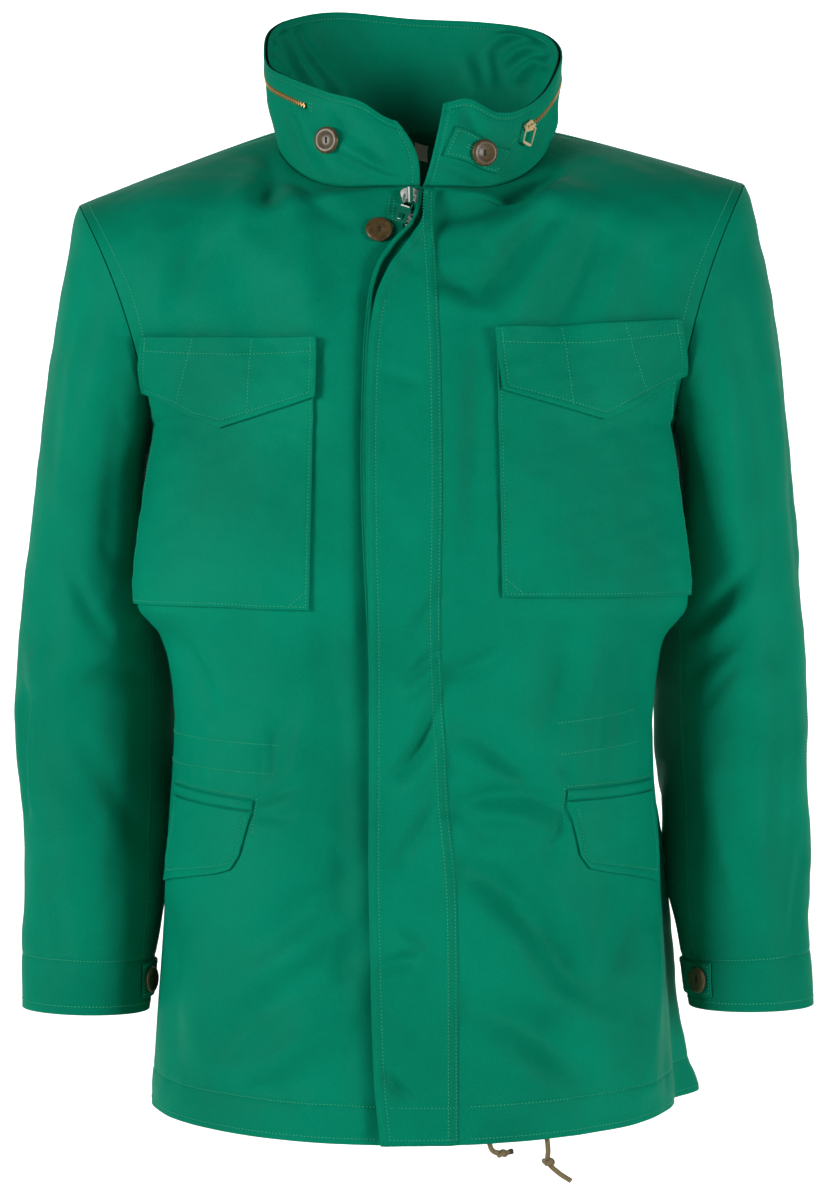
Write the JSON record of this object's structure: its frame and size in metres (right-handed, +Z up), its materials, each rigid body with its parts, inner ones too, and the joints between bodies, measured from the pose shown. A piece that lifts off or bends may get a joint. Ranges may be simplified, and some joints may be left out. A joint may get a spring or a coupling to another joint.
{
  "type": "field jacket",
  "caption": "Thigh-length cotton field jacket, zipped, with stand-up collar, covered front, flap pockets and buttoned cuff tabs, filled out as if worn.",
  "frame": {"origin": "middle of the neck hole at shoulder height, where the wearer's shoulders hold the jacket", "axes": "+Z up, -Y the front, +X the wearer's left"},
  "size_m": [0.6415, 0.2698, 0.9238],
  "materials": {
    "shell_cloth": "green cotton sateen, soft sheen, washed",
    "button_horn": "glossy dark olive-brown, imitation horn",
    "zip_brass": "bright brass zip teeth, slider and pull",
    "zip_nickel": "bright nickel, with a lacquered green bridge",
    "tab_lacquer": "green lacquer on metal",
    "cord_braid": "khaki round braid",
    "label_cloth": "plain woven beige tape, bare"
  },
  "bodies": {
    "garment": {"front_left": "shell_cloth", "front_right": "shell_cloth", "back": "shell_cloth", "sleeve_left_upper": "shell_cloth", "sleeve_left_under": "shell_cloth", "sleeve_right_upper": "shell_cloth", "sleeve_right_under": "shell_cloth", "collar_outer": "shell_cloth", "collar_inner": "shell_cloth", "collar_zip_tape": "zip_brass", "front_zip_tape": "shell_cloth", "front_zip_chain": "zip_brass", "fly_under": "shell_cloth", "fly_outer": "shell_cloth", "chest_pocket_left": "shell_cloth", "chest_flap_left": "shell_cloth", "lower_welt_left": "shell_cloth", "lower_flap_left": "shell_cloth", "chest_pocket_right": "shell_cloth", "chest_flap_right": "shell_cloth", "lower_welt_right": "shell_cloth", "lower_flap_right": "shell_cloth", "cuff_tab_left": "shell_cloth", "cuff_tab_right": "shell_cloth", "collar_tab": "shell_cloth", "collar_button_left": "button_horn", "cuff_button_left": "button_horn", "collar_button_right": "button_horn", "cuff_button_right": "button_horn", "front_button": "button_horn", "front_zip_slider": "zip_nickel", "collar_zip_slider": "zip_brass", "hem_cord_inner": "cord_braid", "hem_cord_outer": "cord_braid", "neck_label": "label_cloth"},
    "front_pull": {"front_zip_pull": "tab_lacquer"},
    "collar_pull": {"collar_zip_pull": "zip_brass"}
  },
  "joints": [
    {"name": "front_pull_swing", "type": "hinge", "parent": "garment", "child": "front_pull", "pos_m": [-0.00253, -0.09374, -0.0644], "axis": [-0.9479, 0.0769, 0.3092], "range_deg": [0, 135]},
    {"name": "collar_pull_swing", "type": "hinge", "parent": "garment", "child": "collar_pull", "pos_m": [0.09215, -0.06467, -0.00796], "axis": [-0.732, -0.6168, 0.2893], "range_deg": [0, 135]}
  ]
}
